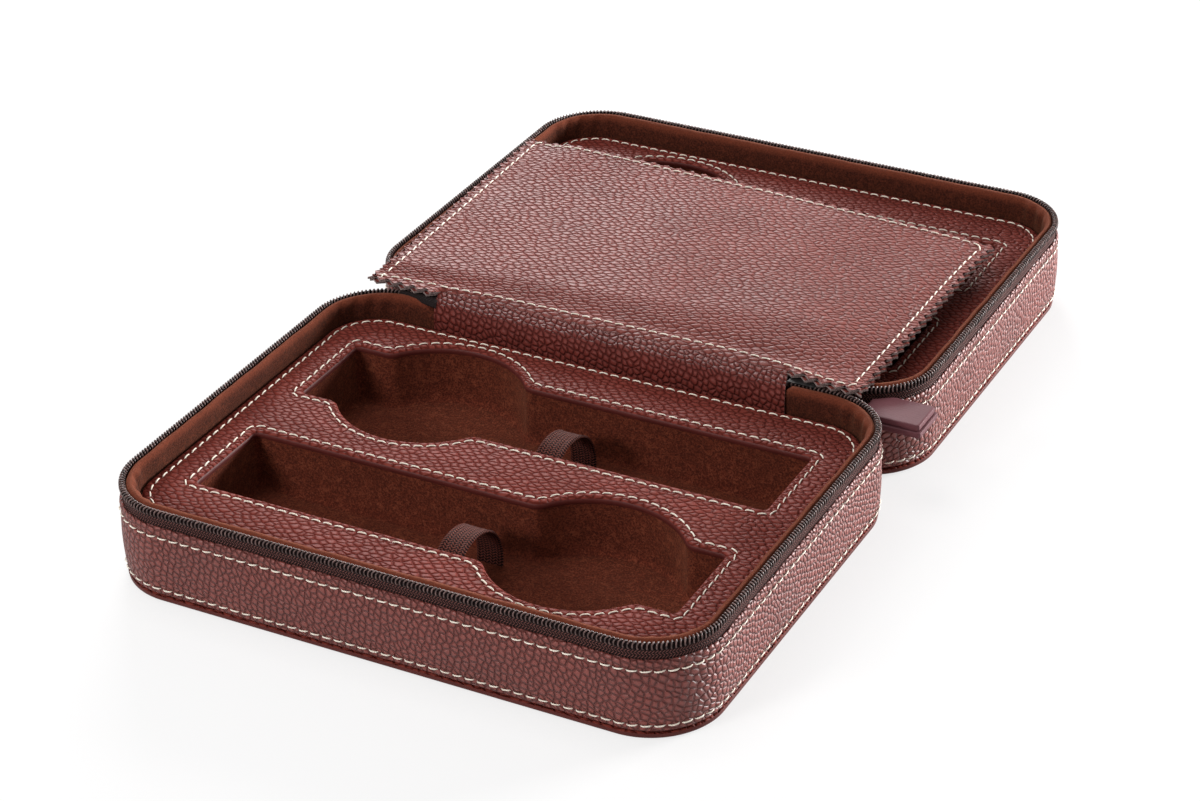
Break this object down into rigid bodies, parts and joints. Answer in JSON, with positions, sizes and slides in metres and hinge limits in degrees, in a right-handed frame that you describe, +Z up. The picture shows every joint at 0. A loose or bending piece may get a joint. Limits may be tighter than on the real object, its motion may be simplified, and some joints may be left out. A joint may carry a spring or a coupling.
{
  "type": "watch travel case",
  "caption": "Zipped leather travel case: two shallow trays with suede watch wells fold together about a leather spine, with a loose leather divider between them.",
  "frame": {"origin": "centre of the base tray's underside, on the surface that the case lies on", "axes": "+X along the spine, +Y from the base tray to the lid tray, +Z up"},
  "size_m": [0.202, 0.3028, 0.0334],
  "materials": {
    "pebbled_leather": "pebbled, semi-gloss",
    "suede": "brushed suede",
    "board": "matt",
    "insert_core": "matt",
    "zip_tape": "woven",
    "zip_coil": "satin",
    "elastic": "woven",
    "dark_metal": "satin",
    "tab_leather": "smooth, semi-gloss"
  },
  "bodies": {
    "base": {"base_bottom_leather": "pebbled_leather", "base_bottom_board": "board", "base_wall_leather": "pebbled_leather", "base_wall_board": "board", "base_rim_suede": "suede", "base_zip_tape": "zip_tape", "base_zip_coil": "zip_coil", "base_spine_leather": "pebbled_leather", "base_insert_foam": "insert_core", "base_insert_leather": "pebbled_leather", "base_well_front": "suede", "base_well_rear": "suede", "base_band_front": "elastic", "base_band_rear": "elastic"},
    "lid": {"lid_bottom_leather": "pebbled_leather", "lid_bottom_board": "board", "lid_wall_leather": "pebbled_leather", "lid_wall_board": "board", "lid_rim_suede": "suede", "lid_zip_tape": "zip_tape", "lid_zip_coil": "zip_coil", "lid_spine_leather": "pebbled_leather", "lid_insert_foam": "insert_core", "lid_insert_leather": "pebbled_leather", "lid_well_front": "suede", "lid_well_rear": "suede", "lid_band_front": "elastic", "lid_band_rear": "elastic"},
    "divider": {"divider_upper_leather": "pebbled_leather", "divider_stiffener": "board", "divider_lower_leather": "pebbled_leather"},
    "slider": {"zip_slider": "dark_metal"},
    "pull": {"pull_link": "dark_metal", "pull_tab_upper": "tab_leather", "pull_tab_lower": "tab_leather"}
  },
  "joints": [
    {"name": "lid_hinge", "type": "hinge", "parent": "base", "child": "lid", "pos_m": [0, 0.0764, 0.0322], "axis": [-1, 0, 0], "range_deg": [-180, 0]},
    {"name": "divider_turn", "type": "hinge", "parent": "lid", "child": "divider", "pos_m": [0, 0.0764, 0.0322], "axis": [1, 0, 0], "range_deg": [0, 180]},
    {"name": "slider_run", "type": "slide", "parent": "base", "child": "slider", "axis": [1, 0, 0], "range_m": [0, 0.006]},
    {"name": "pull_swing", "type": "hinge", "parent": "slider", "child": "pull", "pos_m": [0.07, 0.0765, 0.0262], "axis": [0, -1, 0], "range_deg": [0, 20]}
  ]
}
